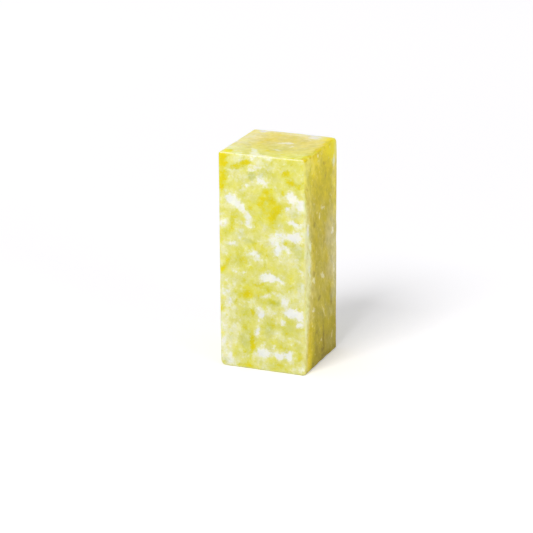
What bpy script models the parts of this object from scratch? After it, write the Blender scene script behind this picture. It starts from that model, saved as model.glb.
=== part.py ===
"""A polished soft-stone seal blank: one square prism with rounded arrises and two worn corners.

Metres, +Z up. The origin is the centre of the base, and the front face looks along -Y.
"""

import bmesh
import bpy
from mathutils import Vector

# The block
SECTION_WIDTH = 0.025  # left to right, along X
SECTION_DEPTH = 0.025  # front to back, along Y
HEIGHT = 0.061  # base to top, along Z

# The rounding that polishing leaves along each group of edges
SIDE_ROUNDING = 0.0009  # the four upright edges, which a hand rubs most
TOP_ROUNDING = 0.0004  # round the top face
TOP_LEFT_ROUNDING = 0.0009  # the top face's left edge, which is rubbed rounder than the other three
BASE_ROUNDING = 0.0004  # round the base
ARRIS_SEGMENTS = 5  # facets across each rounded edge

# The flats that knocks have worn on two corners, as the depth lost along the corner's diagonal
FRONT_LEFT_BASE_WEAR = 0.0008
BACK_RIGHT_TOP_WEAR = 0.0008

# The stone's mean colour (linear), and its polish
STONE_COLOUR = (0.745, 0.700, 0.235, 1.0)
POLISHED_ROUGHNESS = 0.22

SMOOTH_UP_TO = 0.6  # radians between facets that are shaded as one surface
CUT_TOLERANCE = 1e-7


def clear_scene():
    for old in list(bpy.data.objects):
        bpy.data.objects.remove(old, do_unlink=True)


def collection_named(name):
    collection = bpy.data.collections.new(name)
    bpy.context.scene.collection.children.link(collection)
    return collection


def stone_material():
    """Polished yellow stone, in its mean colour."""
    material = bpy.data.materials.new("polished_yellow_stone")
    material.use_nodes = True
    material.diffuse_color = STONE_COLOUR
    shader = material.node_tree.nodes["Principled BSDF"]
    shader.inputs["Base Color"].default_value = STONE_COLOUR
    shader.inputs["Roughness"].default_value = POLISHED_ROUGHNESS
    shader.inputs["Metallic"].default_value = 0.0
    return material


def rounding_of(edge):
    """The rounding that one edge of the sharp block gets."""
    low, high = sorted(corner.co.z for corner in edge.verts)
    if low != high:
        return SIDE_ROUNDING
    if low < HEIGHT / 2:
        return BASE_ROUNDING
    return TOP_LEFT_ROUNDING if max(corner.co.x for corner in edge.verts) < 0 else TOP_ROUNDING


def sharp_block():
    """The sawn block, each edge weighted with its rounding as a share of the widest one."""
    mesh = bpy.data.meshes.new("sharp_block")
    block = bmesh.new()
    bmesh.ops.create_cube(block, size=1.0)
    bmesh.ops.scale(block, vec=(SECTION_WIDTH, SECTION_DEPTH, HEIGHT), verts=block.verts)
    bmesh.ops.translate(block, vec=(0.0, 0.0, HEIGHT / 2), verts=block.verts)
    weight = block.edges.layers.float.new("bevel_weight_edge")
    for edge in block.edges:
        edge[weight] = rounding_of(edge) / widest_rounding()
    block.to_mesh(mesh)
    block.free()
    return mesh


def widest_rounding():
    return max(SIDE_ROUNDING, TOP_ROUNDING, TOP_LEFT_ROUNDING, BASE_ROUNDING)


def polish_arrises(stone):
    """Round every edge of the block by its own weight."""
    bevel = stone.modifiers.new("arrises", "BEVEL")
    bevel.limit_method = "WEIGHT"
    bevel.width = widest_rounding()
    bevel.segments = ARRIS_SEGMENTS
    bevel.use_clamp_overlap = False


def apply_modifiers(stone):
    """Put the evaluated shape in place of the object's own mesh."""
    graph = bpy.context.evaluated_depsgraph_get()
    finished = bpy.data.meshes.new_from_object(stone.evaluated_get(graph))
    stone.modifiers.clear()
    stone.data = finished


def wear_corner(stone, side, front, top, depth):
    """Grind a small flat across one corner, square to the corner's own diagonal.

    side, front and top are +1 or -1 along X, Y and Z, and name the corner.
    """
    outward = Vector((side, front, top)).normalized()
    corner = Vector((side * SECTION_WIDTH / 2, front * SECTION_DEPTH / 2, HEIGHT if top > 0 else 0.0))
    solid = bmesh.new()
    solid.from_mesh(stone.data)
    cut = bmesh.ops.bisect_plane(
        solid,
        geom=solid.verts[:] + solid.edges[:] + solid.faces[:],
        dist=CUT_TOLERANCE,
        plane_co=corner - outward * depth,
        plane_no=outward,
        clear_outer=True,
    )
    rim = [piece for piece in cut["geom_cut"] if isinstance(piece, bmesh.types.BMEdge)]
    if rim:
        bmesh.ops.contextual_create(solid, geom=rim)
    bmesh.ops.recalc_face_normals(solid, faces=solid.faces)
    solid.to_mesh(stone.data)
    solid.free()


def seal_stone(collection):
    """The whole object: one solid block of stone, standing on its base."""
    stone = bpy.data.objects.new("seal_stone", sharp_block())
    collection.objects.link(stone)
    polish_arrises(stone)
    apply_modifiers(stone)
    wear_corner(stone, -1, -1, -1, FRONT_LEFT_BASE_WEAR)
    wear_corner(stone, 1, 1, 1, BACK_RIGHT_TOP_WEAR)
    stone.data.name = "seal_stone"
    stone.data.materials.append(stone_material())
    stone.data.shade_smooth()
    stone.data.set_sharp_from_angle(angle=SMOOTH_UP_TO)
    return stone


clear_scene()
seal_stone(collection_named("seal_stone_blank"))
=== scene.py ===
"""Looks of the polished seal stone: its fine surface, its mottled stone, the light and the camera."""

import math

import bmesh
import bpy
from mathutils import Matrix, Vector, noise


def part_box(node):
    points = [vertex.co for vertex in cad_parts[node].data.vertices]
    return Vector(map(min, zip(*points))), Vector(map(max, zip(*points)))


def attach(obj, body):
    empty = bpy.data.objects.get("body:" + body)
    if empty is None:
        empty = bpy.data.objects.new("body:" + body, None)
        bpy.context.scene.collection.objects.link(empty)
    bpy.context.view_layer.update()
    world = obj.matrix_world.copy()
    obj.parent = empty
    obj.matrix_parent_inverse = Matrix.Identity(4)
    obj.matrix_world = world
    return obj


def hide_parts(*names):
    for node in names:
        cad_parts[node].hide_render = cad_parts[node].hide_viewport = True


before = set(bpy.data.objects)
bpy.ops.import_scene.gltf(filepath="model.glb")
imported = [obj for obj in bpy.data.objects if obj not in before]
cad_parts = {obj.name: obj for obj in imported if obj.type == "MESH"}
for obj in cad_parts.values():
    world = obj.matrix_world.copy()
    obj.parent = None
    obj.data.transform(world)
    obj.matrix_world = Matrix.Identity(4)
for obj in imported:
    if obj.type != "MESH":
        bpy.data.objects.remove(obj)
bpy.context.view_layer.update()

MM = 0.001

# The block's own box, from the frame
BLOCK_LOW, BLOCK_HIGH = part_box("seal_stone")
HALF_WIDTH = (BLOCK_HIGH.x - BLOCK_LOW.x) / 2
HALF_DEPTH = (BLOCK_HIGH.y - BLOCK_LOW.y) / 2
HEIGHT = BLOCK_HIGH.z - BLOCK_LOW.z

# The roundings along its edges, and how fine its mesh is
SIDE_ROUNDING = 0.9 * MM
TOP_ROUNDING = 0.4 * MM
TOP_LEFT_ROUNDING = 0.9 * MM
BASE_ROUNDING = 0.4 * MM
FACE_STEP = 0.4 * MM
WELD_DISTANCE = 0.0005 * MM
CORNER_FACETS = 8
RIM_FACETS = 5
CAP_RINGS = 24  # across the top and across the base
CAP_CROWDING = 0.8  # below 1, the caps' rings lie closer together towards the rim

# Polishing and handling
POLISH_WAVE = 0.006 * MM
POLISH_WAVE_LENGTH = 9 * MM
ARRIS_WEAR = 0.16 * MM
ARRIS_WEAR_LENGTH = 3.5 * MM
ARRIS_WEAR_REACH = 1.6 * SIDE_ROUNDING
WORN_CORNERS = [
    # side, front or back, top or base, depth lost along the corner's diagonal
    (-1, -1, -1, 0.8 * MM),
    (1, 1, 1, 0.8 * MM),
]
WORN_CORNER_SOFTNESS = 0.25 * MM
WORN_CORNER_REACH = -4 * WORN_CORNER_SOFTNESS  # further inside than this, a worn corner moves nothing

# The stone's clouds and patches, set out on the three faces that show. Each is an ellipsoid
# just under its face: where it lies across and up that face, half length and half width in
# millimetres, tilt in degrees, and strength. Across and up are x and z on the front face, y and z on
# the right face, and x and y on the top face.
FRONT_WHITE = [
    (-9.2, 48.3, 2.0, 1.0, 0, 0.95),
    (-7.0, 47.0, 1.8, 0.9, -40, 1.0),
    (-5.6, 45.4, 1.9, 0.9, -50, 1.1),
    (-3.6, 43.0, 1.4, 0.9, 90, 0.95),
    (-3.5, 41.0, 0.9, 0.7, 90, 0.8),
    (-11.6, 41.8, 1.2, 1.1, 90, 0.7),
    (-6.3, 41.6, 1.2, 0.6, 0, 0.6),
    (-1.6, 57.4, 1.4, 0.8, 20, 0.85),
    (-3.0, 56.6, 0.9, 0.5, -20, 0.6),
    (-2.5, 60.3, 1.5, 0.7, 0, 0.55),
    (2.0, 60.2, 2.0, 0.5, 0, 0.3),
    (1.2, 53.3, 1.6, 0.7, -15, 0.85),
    (-0.4, 54.0, 1.2, 0.6, -20, 0.8),
    (-4.5, 52.2, 1.1, 0.5, 10, 0.75),
    (-5.0, 50.9, 0.8, 0.5, 0, 0.5),
    (8.6, 50.9, 1.4, 1.1, 80, 0.95),
    (10.2, 49.3, 1.8, 1.0, -35, 1.0),
    (11.5, 48.0, 1.2, 1.0, -60, 0.9),
    (7.5, 46.8, 0.9, 0.7, 60, 0.85),
    (10.2, 42.7, 2.4, 0.7, 0, 0.85),
    (8.4, 43.5, 0.8, 0.5, 0, 0.8),
    (10.4, 39.1, 2.1, 1.3, 0, 1.0),
    (9.8, 40.4, 1.2, 0.7, 0, 0.7),
    (3.5, 37.6, 1.0, 0.9, 90, 0.85),
    (4.7, 39.2, 2.4, 0.6, 5, 0.6),
    (5.2, 35.6, 1.3, 0.9, 20, 0.9),
    (4.7, 34.0, 1.0, 0.7, 60, 0.8),
    (7.6, 35.3, 1.2, 0.6, -45, 0.95),
    (-2.3, 33.4, 1.9, 0.8, -15, 0.85),
    (-1.4, 32.2, 0.8, 0.5, 40, 0.7),
    (-9.0, 35.8, 1.2, 0.6, 0, 0.6),
    (0.6, 26.2, 1.4, 0.8, 35, 0.95),
    (1.9, 27.3, 1.4, 0.9, 20, 1.0),
    (3.8, 26.9, 1.7, 0.7, -15, 1.0),
    (5.8, 26.3, 1.0, 0.4, -20, 0.8),
    (-5.3, 27.5, 0.7, 0.4, 20, 1.1),
    (-3.5, 30.1, 0.8, 0.4, 50, 0.5),
    (6.5, 20.8, 1.4, 0.9, 85, 1.0),
    (1.2, 21.7, 1.2, 0.5, 15, 1.2),
    (4.3, 22.7, 1.0, 0.5, 0, 0.6),
    (-5.6, 23.2, 1.0, 0.5, 70, 0.6),
    (7.6, 17.6, 1.4, 0.9, 10, 0.95),
    (9.7, 17.6, 1.4, 1.0, -10, 1.0),
    (11.4, 16.2, 1.4, 0.8, -80, 0.95),
    (11.0, 14.1, 0.9, 0.7, 0, 0.8),
    (6.0, 14.6, 0.8, 0.7, 90, 1.1),
    (-0.4, 16.4, 1.4, 0.8, 85, 1.0),
    (-1.0, 17.8, 0.6, 0.4, 0, 0.7),
    (3.2, 17.2, 0.6, 0.3, 0, 0.5),
    (-9.3, 18.6, 1.4, 1.0, 60, 0.85),
    (-3.2, 19.7, 0.9, 0.4, 15, 0.6),
    (-1.2, 11.3, 1.4, 0.6, 80, 0.75),
    (-0.3, 5.2, 1.3, 0.9, 0, 0.9),
    (1.4, 5.1, 1.2, 0.8, 20, 1.0),
    (0.6, 7.4, 0.8, 0.4, 60, 1.0),
    (3.6, 7.0, 0.6, 0.5, 90, 1.1),
    (6.6, 5.4, 1.9, 0.8, 10, 0.9),
    (5.0, 4.2, 0.8, 0.7, 60, 0.8),
    (8.3, 4.6, 1.2, 0.6, -40, 0.5),
    (8.3, 8.6, 0.9, 0.4, 20, 0.7),
    (-9.6, 3.5, 1.6, 0.6, 80, 0.6),
    (-8.2, 0.9, 0.7, 0.5, 0, 0.6),
    (9.0, 1.8, 1.0, 0.7, 90, 0.6),
    (11.9, 1.6, 0.8, 0.7, 0, 0.6),
    (11.7, 29.5, 1.0, 0.6, -60, 0.7),
    (-10.3, 21.8, 0.8, 0.5, 0, 0.6),
    (10.8, 9.6, 0.7, 0.5, 0, 0.5),
    (0.2, 16.4, 1.2, 0.7, 85, 0.8),
]
FRONT_GOLD = [
    (-12.0, 59.0, 2.0, 1.0, 88, 1.2),
    (-10.4, 60.2, 1.4, 0.7, 10, 1.0),
    (-10.6, 57.6, 0.8, 0.7, 60, 0.8),
    (-7.8, 57.1, 1.5, 0.45, 5, 1.0),
    (-5.6, 58.2, 2.2, 0.6, 22, 1.5),
    (-4.3, 58.8, 1.0, 0.5, 20, 1.0),
    (-5.0, 60.3, 0.9, 0.4, 20, 0.8),
    (-0.7, 60.4, 0.6, 0.3, 0, 0.7),
    (-11.2, 53.2, 2.0, 1.0, 85, 1.8),
    (-10.2, 55.0, 1.2, 0.6, 15, 1.6),
    (7.4, 57.0, 0.7, 0.6, 0, 1.4),
    (6.7, 56.4, 1.0, 0.5, 50, 0.7),
    (8.9, 59.5, 1.0, 0.7, 0, 0.7),
    (6.5, 58.9, 0.7, 0.4, 0, 0.6),
    (3.4, 56.3, 0.7, 0.7, 0, 0.8),
    (8.5, 54.3, 1.1, 0.7, 0, 0.85),
    (4.9, 53.3, 0.7, 0.6, 90, 0.7),
    (6.4, 51.3, 0.6, 0.4, 90, 0.9),
    (11.0, 53.5, 0.8, 0.8, 90, 0.7),
    (10.8, 50.9, 1.0, 0.4, -35, 0.6),
    (-0.2, 48.2, 1.4, 1.0, 90, 1.0),
    (2.2, 49.9, 1.5, 1.2, -20, 0.6),
    (1.0, 51.3, 1.0, 0.6, 0, 0.4),
    (3.2, 48.3, 1.5, 1.0, 0, 0.6),
    (5.7, 47.3, 1.2, 0.9, -30, 0.5),
    (3.2, 46.0, 1.6, 0.8, 0, 0.7),
    (4.0, 45.0, 1.4, 1.0, 60, 0.9),
    (2.8, 44.0, 1.2, 0.5, 0, 0.7),
    (-2.2, 44.2, 0.9, 0.4, -30, 0.5),
    (-3.8, 46.8, 1.2, 0.6, -50, 0.5),
    (-8.3, 42.6, 1.4, 0.5, 75, 0.9),
    (-9.2, 44.6, 1.0, 0.3, -10, 0.5),
    (-5.1, 42.9, 1.0, 0.5, 80, 0.8),
    (-0.7, 42.9, 0.8, 0.5, 0, 0.7),
    (-1.5, 41.6, 0.8, 0.4, -40, 0.7),
    (3.8, 41.4, 0.6, 0.3, 0, 0.6),
    (-8.6, 40.4, 1.2, 0.5, 70, 0.9),
    (-10.4, 38.6, 1.4, 0.8, 50, 0.55),
    (-11.9, 37.2, 1.4, 0.6, 80, 0.6),
    (10.6, 43.4, 0.9, 0.2, 3, 1.2),
    (7.1, 37.3, 0.6, 0.5, 20, 1.0),
    (-0.4, 33.8, 0.8, 0.7, 70, 1.3),
    (1.6, 34.6, 0.8, 0.6, 0, 0.5),
    (1.0, 31.5, 1.6, 0.4, 85, 0.6),
    (1.0, 30.2, 0.5, 0.3, 90, 0.8),
    (-9.6, 31.2, 1.2, 0.5, 60, 0.75),
    (-10.7, 29.5, 1.2, 0.5, 60, 0.75),
    (-11.8, 27.6, 1.2, 0.5, 70, 0.75),
    (-7.6, 34.4, 0.7, 0.3, 20, 0.6),
    (-3.4, 28.9, 0.7, 0.5, 90, 0.5),
    (-5.2, 25.3, 0.6, 0.4, 60, 0.9),
    (-1.5, 24.5, 1.0, 0.3, 0, 0.7),
    (0.6, 24.2, 2.0, 0.8, 0, 0.5),
    (2.2, 22.8, 0.7, 0.6, 90, 0.7),
    (-3.6, 22.0, 1.4, 1.0, 70, 0.6),
    (-4.4, 21.4, 2.0, 0.7, 5, 0.5),
    (-6.4, 20.9, 0.9, 0.6, 45, 0.7),
    (8.7, 24.8, 0.9, 0.4, 35, 0.8),
    (7.2, 23.6, 0.5, 0.4, 90, 0.7),
    (3.2, 20.2, 1.3, 0.5, -10, 0.5),
    (-7.6, 18.9, 0.65, 0.6, 0, 1.6),
    (-12.0, 16.6, 1.0, 0.6, 60, 1.2),
    (-7.6, 16.0, 1.2, 0.5, 80, 0.4),
    (-2.6, 16.8, 1.0, 0.5, 80, 1.3),
    (-10.9, 14.1, 0.4, 0.4, 0, 0.7),
    (3.2, 13.0, 0.8, 0.6, 0, 0.9),
    (-4.9, 11.8, 0.9, 0.5, -10, 0.9),
    (-2.9, 9.2, 2.0, 0.5, 88, 1.4),
    (-3.0, 7.6, 1.0, 0.4, 90, 0.9),
    (-2.3, 6.6, 0.8, 0.4, 60, 1.0),
    (-3.1, 4.8, 1.0, 0.4, 75, 1.0),
    (10.9, 6.0, 0.8, 0.6, 90, 0.75),
    (11.2, 4.3, 1.0, 0.4, 0, 0.6),
    (7.5, 7.2, 1.2, 0.4, 0, 0.8),
    (9.9, 9.2, 0.6, 0.4, 60, 0.7),
    (3.6, 6.0, 0.6, 0.4, 0, 0.5),
    (4.0, 3.7, 0.6, 0.3, -40, 0.7),
    (-4.4, 1.0, 1.6, 0.6, 0, 0.6),
    (-6.8, 0.9, 0.8, 0.4, 0, 0.7),
    (5.0, 2.2, 0.9, 0.8, 0, 0.7),
    (3.4, 0.8, 1.6, 0.4, 0, 0.6),
    (8.6, 0.7, 1.0, 0.3, 0, 0.5),
    (2.6, 47.2, 2.0, 1.5, 0, 0.35),
    (0.8, 46.4, 1.2, 0.9, 0, 0.55),
    (5.3, 45.8, 1.3, 1.0, 0, 0.45),
    (4.4, 49.0, 1.4, 0.8, -20, 0.15),
    (-6.6, 57.7, 1.2, 0.5, 20, 0.9),
]
FRONT_GREEN = [
    (-2.7, 55.2, 0.8, 0.8, 0, 2.2),
    (0.8, 55.8, 2.0, 1.0, 0, 0.9),
    (2.5, 58.5, 3.0, 1.2, 0, 0.5),
    (10.2, 45.7, 2.2, 1.2, 0, 0.75),
    (10.4, 35.8, 2.2, 1.6, 0, 1.0),
    (11.6, 33.8, 1.2, 1.2, 0, 0.6),
    (-6.0, 38.5, 3.2, 1.8, 30, 0.6),
    (-3.2, 36.6, 1.6, 0.8, 0, 0.7),
    (-4.6, 8.0, 3.2, 1.4, 90, 0.9),
    (2.0, 12.5, 2.4, 1.4, 90, 0.9),
    (-10.8, 1.6, 1.6, 0.9, 0, 1.0),
    (11.5, 26.0, 3.0, 1.5, 90, 0.6),
    (4.0, 20.0, 1.3, 0.7, 0, 1.0),
    (1.4, 23.4, 1.4, 0.8, 0, 0.8),
    (-4.5, 15.5, 2.0, 1.6, 0, 0.6),
    (8.5, 12.5, 2.0, 2.0, 0, 0.6),
    (-6.8, 31.2, 2.4, 2.0, 0, 0.6),
    (2.0, 19.5, 2.4, 1.0, 0, 0.6),
    (5.0, 1.6, 3.0, 1.0, 0, 0.6),
    (8.6, 15.2, 1.2, 1.2, 0, 0.5),
]
# Broad soft zones, paler where the strength is above 0 and yellower where it is below. Those of the
# second half were set where the picture, compared cell by cell with the photograph, was off.
FRONT_ZONES = [
    (-11.8, 59.2, 2.0, 1.4, 90, -0.3),
    (-8.0, 59.3, 2.2, 1.2, 0, 0.22),
    (-1.5, 60.3, 2.8, 0.9, 0, 0.18),
    (8.0, 57.0, 4.5, 3.2, 0, -0.22),
    (-7.0, 54.2, 3.5, 2.4, 0, 0.06),
    (2.6, 47.4, 4.6, 3.4, -25, -0.15),
    (10.0, 46.0, 2.8, 1.6, 0, 0.14),
    (-10.6, 45.0, 2.0, 1.4, 0, 0.12),
    (-11.0, 38.5, 2.2, 1.4, 45, -0.16),
    (-4.0, 39.0, 3.0, 2.0, 0, -0.08),
    (4.4, 38.4, 2.8, 1.8, 0, 0.26),
    (10.0, 39.2, 2.2, 1.6, 0, 0.2),
    (10.4, 35.8, 2.4, 1.8, 0, -0.1),
    (5.5, 35.0, 3.0, 1.2, 0, 0.16),
    (-2.3, 33.2, 2.4, 1.3, -10, 0.12),
    (-9.0, 35.6, 3.0, 1.8, 0, 0.12),
    (-5.5, 31.0, 3.0, 2.4, 0, -0.14),
    (5.0, 30.4, 4.6, 2.4, 0, -0.1),
    (2.6, 26.9, 3.4, 1.4, -15, 0.18),
    (0.5, 23.6, 3.0, 1.4, 0, -0.28),
    (-4.6, 21.6, 2.6, 1.6, 10, -0.26),
    (-9.2, 23.6, 2.8, 2.8, 0, 0.14),
    (10.0, 22.4, 2.5, 2.0, 0, 0.14),
    (9.4, 18.0, 3.0, 1.6, -10, 0.2),
    (-9.6, 18.0, 2.2, 2.2, 0, 0.14),
    (2.4, 19.6, 2.6, 1.2, 0, -0.08),
    (-4.5, 15.0, 2.8, 2.4, 0, -0.06),
    (2.0, 12.0, 2.8, 2.8, 0, -0.22),
    (8.0, 14.0, 2.4, 2.2, 0, -0.16),
    (-4.8, 8.0, 3.4, 2.0, 90, -0.18),
    (-11.2, 9.0, 5.0, 1.4, 90, 0.2),
    (-7.6, 12.0, 1.2, 0.9, 0, 0.12),
    (0.8, 5.2, 3.0, 1.6, 15, 0.16),
    (6.6, 5.2, 2.4, 1.6, 0, 0.16),
    (4.0, 2.0, 5.0, 1.4, 0, -0.14),
    (-4.6, 1.2, 2.6, 1.1, 0, -0.22),
    (10.9, 5.3, 1.6, 1.2, 90, -0.26),
    (9.0, 8.8, 1.6, 0.9, 0, 0.1),
    (-11.4, 53.2, 1.8, 1.2, 90, -0.25),
    (2.4, 58.4, 1.8, 1.3, 0, 0.25),
    (0.6, 55.6, 2.0, 1.2, 0, 0.15),
    (-5.6, 58.4, 1.5, 0.9, 10, -0.2),
    (-0.5, 53.4, 3.4, 1.2, 0, 0.2),
    (-9.6, 50.4, 2.6, 1.0, 0, 0.17),
    (-5.2, 48.6, 1.2, 1.0, 0, -0.2),
    (-2.9, 45.8, 1.2, 0.9, 0, -0.15),
    (5.6, 41.6, 2.4, 1.4, 0, -0.15),
    (9.9, 43.2, 1.8, 1.2, 0, 0.3),
    (9.9, 31.4, 2.2, 1.6, 90, 0.32),
    (6.2, 30.0, 2.4, 1.2, 0, 0.16),
    (9.8, 35.2, 1.4, 1.2, 0, 0.12),
    (-10.9, 40.6, 1.2, 1.2, 0, 0.2),
    (-3.2, 37.8, 1.3, 1.2, 0, 0.22),
    (-6.0, 35.4, 1.4, 1.2, 0, -0.16),
    (-8.3, 37.7, 1.2, 1.0, 0, -0.12),
    (1.9, 35.0, 1.2, 1.2, 0, -0.2),
    (1.0, 29.6, 2.4, 1.1, 0, -0.2),
    (-3.2, 25.2, 1.4, 1.6, 0, -0.3),
    (-8.4, 25.4, 1.4, 1.4, 0, -0.16),
    (-10.8, 20.6, 1.6, 1.8, 0, 0.18),
    (8.2, 24.0, 2.2, 1.6, 0, -0.16),
    (5.6, 16.8, 1.8, 1.1, 0, -0.16),
    (-8.2, 14.2, 1.6, 1.2, 0, 0.18),
    (-5.8, 11.7, 1.3, 1.2, 0, -0.24),
    (-0.5, 11.9, 1.2, 1.2, 0, 0.18),
    (-8.2, 9.2, 1.4, 1.3, 0, 0.3),
    (-3.2, 5.6, 3.2, 1.3, 90, -0.2),
    (-5.7, 6.5, 1.2, 1.2, 0, -0.14),
    (5.6, 7.4, 2.2, 1.4, 0, -0.18),
    (-8.4, 1.4, 1.4, 1.1, 0, 0.54),
    (0.8, 1.4, 2.2, 1.0, 0, 0.2),
    (9.9, 1.4, 1.2, 1.0, 0, 0.2),
    (-0.5, 4.0, 1.2, 1.0, 0, 0.14),
    (-10.9, 27.3, 1.2, 1.2, 0, -0.12),
    (6.0, 32.6, 2.2, 1.1, 0, 0.12),
    (4.8, 48.3, 1.2, 1.0, 0, 0.14),
]
# On the right and top faces the patches change how light the stone is (its red), how milky (its blue as
# a share of its red) and how lemon rather than amber (its green as a share of its red)
SIDE_LIGHT_PATCHES = [
    (-7.0, 23.0, 6.0, 2.4, 90, 0.17),
    (-8.4, 9.6, 5.0, 2.4, 90, 0.24),
    (-9.8, 2.6, 3.2, 2.0, 80, 0.38),
    (-12.0, 56.0, 5.0, 2.2, 90, 0.12),
    (-7.0, 36.0, 7.0, 2.4, 90, 0.04),
    (-5.0, 57.0, 3.5, 3.0, 0, 0.06),
    (8.6, 59.4, 3.4, 2.0, 0, 0.45),
    (10.6, 52.0, 6.0, 1.4, 90, 0.16),
    (10.6, 45.0, 4.0, 1.4, 90, 0.14),
    (2.9, 53.4, 2.2, 1.6, 90, -0.1),
    (-0.5, 48.5, 3.0, 1.8, 0, -0.05),
    (6.0, 50.0, 3.0, 3.0, 0, 0.02),
    (9.5, 36.0, 6.0, 3.0, 90, 0.11),
    (10.0, 24.0, 6.0, 2.4, 90, 0.13),
    (8.5, 8.2, 2.6, 1.6, 0, -0.05),
    (-3.5, 4.0, 2.4, 1.8, 0, -0.02),
    (1.6, 6.0, 5.0, 0.9, 90, -0.08),
    (-9.4, 48.0, 2.6, 1.4, 90, 0.1),
    (10.8, 58.5, 2.0, 1.6, 90, 0.16),
]
SIDE_MILK_PATCHES = [
    (-12.4, 58.0, 2.5, 1.6, 0, 0.15),
    (-8.5, 32.0, 6.0, 1.6, 90, 0.06),
    (-7.4, 22.0, 5.0, 2.2, 90, 0.12),
    (9.5, 51.0, 3.0, 1.8, 90, 0.12),
    (9.0, 35.5, 5.0, 3.4, 90, 0.28),
    (5.5, 35.0, 2.5, 2.5, 0, 0.1),
    (10.8, 24.0, 6.0, 2.4, 90, 0.36),
    (6.5, 25.5, 3.0, 2.0, 70, 0.18),
    (9.5, 17.0, 2.0, 1.6, 0, 0.18),
    (8.0, 12.5, 3.0, 1.4, 0, 0.1),
    (3.5, 54.0, 4.5, 3.0, 20, -0.14),
    (7.0, 59.5, 3.5, 2.2, 0, -0.16),
    (1.0, 49.0, 4.0, 3.0, 0, -0.05),
    (7.5, 8.5, 3.0, 1.6, 0, -0.08),
    (-8.0, 6.0, 5.0, 2.0, 90, -0.03),
    (0.0, 20.0, 4.0, 3.0, 0, 0.02),
    (10.8, 58.5, 2.2, 1.2, 90, 0.26),
    (-10.5, 56.0, 3.5, 2.2, 90, 0.08),
    (1.0, 4.0, 4.0, 3.4, 0, -0.05),
    (-4.0, 5.0, 3.6, 2.6, 0, -0.04),
    (-9.4, 48.0, 2.6, 1.4, 90, 0.1),
    (9.8, 54.6, 2.0, 1.0, 90, 0.14),
]
SIDE_LEMON_PATCHES = [
    (-11.0, 56.0, 6.0, 3.0, 90, 0.07),
    (-9.0, 7.0, 5.0, 1.6, 90, -0.02),
    (9.0, 59.0, 3.0, 2.0, 0, 0.03),
    (6.0, 36.0, 4.0, 3.0, 0, -0.03),
    (7.0, 25.0, 4.0, 3.0, 0, -0.03),
    (1.5, 4.0, 3.0, 5.0, 90, -0.03),
]
# Crisp-edged specks on the right face
SIDE_PALE_SPECKS = [
    (-9.8, 41.0, 1.6, 0.6, 88, 1.1),
    (-8.1, 36.0, 1.3, 0.8, 100, 0.9),
    (-8.8, 28.8, 1.8, 0.6, 105, 0.9),
    (-12.0, 43.5, 1.2, 0.6, 80, 0.6),
    (-12.0, 33.5, 1.5, 0.6, 90, 0.5),
    (-11.4, 15.5, 1.2, 0.6, 90, 0.5),
    (9.6, 55.2, 1.4, 0.7, 90, 0.9),
    (10.6, 48.0, 1.6, 0.6, 90, 0.4),
    (1.0, 44.2, 1.1, 0.5, -20, 1.1),
    (-1.3, 42.5, 0.8, 0.45, 100, 0.8),
    (1.0, 24.7, 1.2, 0.55, -30, 1.2),
    (-5.6, 25.4, 1.1, 0.6, -40, 1.1),
    (-5.5, 16.7, 1.1, 0.55, -25, 0.9),
    (-6.8, 20.8, 1.1, 0.6, -10, 0.5),
    (0.4, 6.4, 0.7, 0.5, -45, 0.9),
    (-7.4, 8.3, 0.8, 0.4, 0, 0.4),
    (-5.4, 46.9, 1.2, 0.5, -20, 0.5),
    (-3.0, 53.8, 0.7, 0.6, 90, 0.4),
    (-2.5, 59.8, 0.7, 0.5, 0, 0.9),
    (6.5, 59.8, 1.0, 0.45, 95, 0.7),
    (6.5, 44.8, 0.9, 0.5, 0, 0.5),
    (8.4, 35.0, 0.9, 0.7, 45, 0.7),
    (4.8, 33.2, 0.9, 0.5, -20, 0.5),
    (5.8, 29.3, 0.7, 0.5, -30, 0.5),
    (1.2, 50.3, 1.0, 0.4, -15, 0.5),
    (1.3, 15.2, 1.4, 0.4, -50, 0.6),
    (2.7, 12.9, 1.1, 0.4, -50, 0.6),
    (8.2, 5.0, 1.0, 0.8, 60, 0.6),
    (-9.8, 59.4, 0.8, 0.6, 0, 0.4),
    (-2.8, 1.3, 0.9, 0.35, -20, 0.4),
    (-7.0, 57.0, 1.2, 0.6, 0, 0.35),
    (9.8, 24.0, 2.4, 0.8, 90, 0.5),
    (9.6, 36.5, 1.8, 0.9, 90, 0.4),
]
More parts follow.
